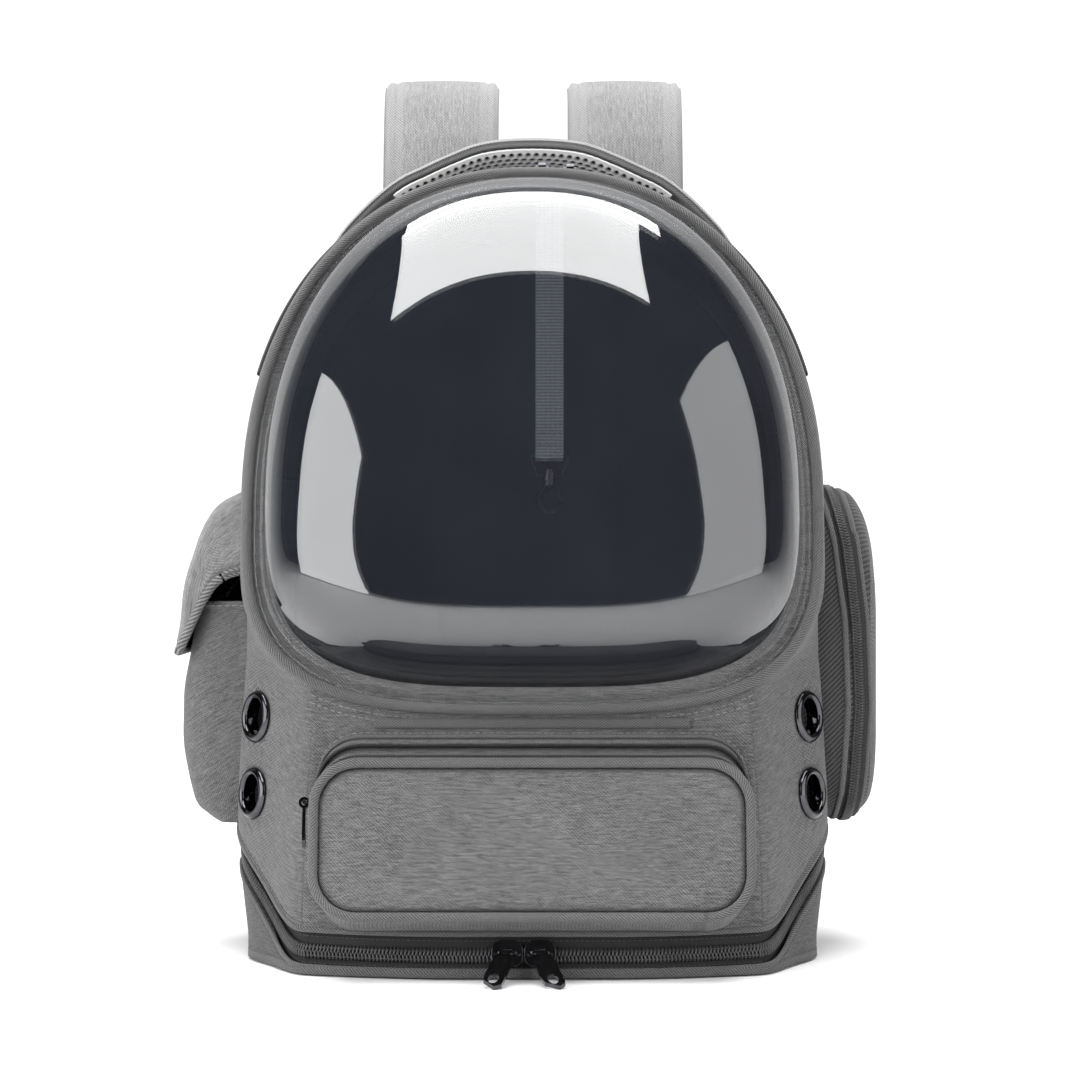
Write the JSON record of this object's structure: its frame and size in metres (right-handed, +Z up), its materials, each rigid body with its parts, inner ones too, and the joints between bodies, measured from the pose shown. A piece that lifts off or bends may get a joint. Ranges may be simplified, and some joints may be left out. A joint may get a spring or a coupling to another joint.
{
  "type": "bubble pet carrier backpack",
  "caption": "Upright pet carrier backpack with an arched cloth cabin, a smoked bubble window, pockets, air holes, a carry handle and shoulder straps",
  "frame": {"origin": "centre of the base's flat underside, on the floor", "axes": "+Z up, the bubble window faces -Y, +X is to the right seen from the front"},
  "size_m": [0.365, 0.3378, 0.48],
  "materials": {
    "grey_oxford": "heathered oxford weave",
    "light_grey_cloth": "heathered cloth, padded",
    "air_mesh": "open spacer mesh",
    "dark_webbing": "woven tape and nylon coil",
    "smoked_window": "smoked clear plastic, glossy",
    "black_nickel": "black nickel plating",
    "black_hardware": "gloss black"
  },
  "bodies": {
    "carrier": {"front_panel": "grey_oxford", "side_panel_left": "grey_oxford", "side_panel_right": "grey_oxford", "top_panel": "grey_oxford", "back_panel": "grey_oxford", "base_tray": "grey_oxford", "base_binding": "grey_oxford", "bubble": "smoked_window", "bubble_piping": "grey_oxford", "front_welt": "grey_oxford", "front_pocket_gusset": "grey_oxford", "front_pocket_zip": "dark_webbing", "front_pocket_face": "grey_oxford", "front_pocket_piping": "grey_oxford", "front_pocket_slider": "black_nickel", "side_pocket_left": "grey_oxford", "side_pocket_right": "grey_oxford", "side_pocket_right_zip": "dark_webbing", "side_pocket_right_slider": "black_nickel", "side_flap_left": "grey_oxford", "side_flap_left_binding": "grey_oxford", "base_zip_tape": "dark_webbing", "base_zip_coil": "dark_webbing", "base_slider_left": "black_nickel", "base_slider_right": "black_nickel", "top_zip_tape": "dark_webbing", "top_zip_coil": "dark_webbing", "top_slider_left": "black_nickel", "top_slider_right": "black_nickel", "eyelet_left_upper": "black_nickel", "eyelet_left_lower": "black_nickel", "eyelet_right_upper": "black_nickel", "eyelet_right_lower": "black_nickel", "carry_handle": "light_grey_cloth", "carry_handle_lining": "air_mesh", "shoulder_strap_left": "light_grey_cloth", "strap_adjuster_left": "black_hardware", "strap_webbing_left": "dark_webbing", "shoulder_strap_right": "light_grey_cloth", "strap_adjuster_right": "black_hardware", "strap_webbing_right": "dark_webbing", "tether_strap": "dark_webbing", "tether_eye": "black_hardware"},
    "base_pull_left": {"base_pull_left": "black_nickel"},
    "base_pull_right": {"base_pull_right": "black_nickel"},
    "top_pull_left": {"top_pull_left": "black_nickel"},
    "top_pull_right": {"top_pull_right": "black_nickel"},
    "front_pocket_pull": {"front_pocket_pull": "black_nickel"},
    "tether_hook": {"tether_hook": "black_hardware"},
    "tether_gate": {"tether_gate": "black_hardware"}
  },
  "joints": [
    {"name": "base_pull_left_swing", "type": "hinge", "parent": "carrier", "child": "base_pull_left", "pos_m": [-0.0122, -0.11479, 0.01409], "axis": [-1, 0, 0], "range_deg": [0, 62]},
    {"name": "base_pull_right_swing", "type": "hinge", "parent": "carrier", "child": "base_pull_right", "pos_m": [0.0039, -0.11479, 0.01409], "axis": [-1, 0, 0], "range_deg": [0, 62]},
    {"name": "top_pull_left_swing", "type": "hinge", "parent": "carrier", "child": "top_pull_left", "pos_m": [0.00502, -0.00138, 0.41216], "axis": [0.9988, 0, -0.0496], "range_deg": [0, 175]},
    {"name": "top_pull_right_swing", "type": "hinge", "parent": "carrier", "child": "top_pull_right", "pos_m": [0.01972, -0.00139, 0.41142], "axis": [0.9988, 0, -0.0496], "range_deg": [0, 175]},
    {"name": "front_pocket_pull_swing", "type": "hinge", "parent": "carrier", "child": "front_pocket_pull", "pos_m": [-0.1123, -0.10225, 0.08623], "axis": [0, 0.9744, -0.225], "range_deg": [0, 175]},
    {"name": "tether_hook_swivel", "type": "hinge", "parent": "carrier", "child": "tether_hook", "pos_m": [0.009, 0.02585, 0.245], "axis": [0, 0, 1], "continuous": true},
    {"name": "tether_gate_press", "type": "hinge", "parent": "tether_hook", "child": "tether_gate", "pos_m": [0.0136, 0.02585, 0.2445], "axis": [0, 1, 0], "range_deg": [0, 24], "stiffness_Nm_per_rad": 0.002}
  ]
}
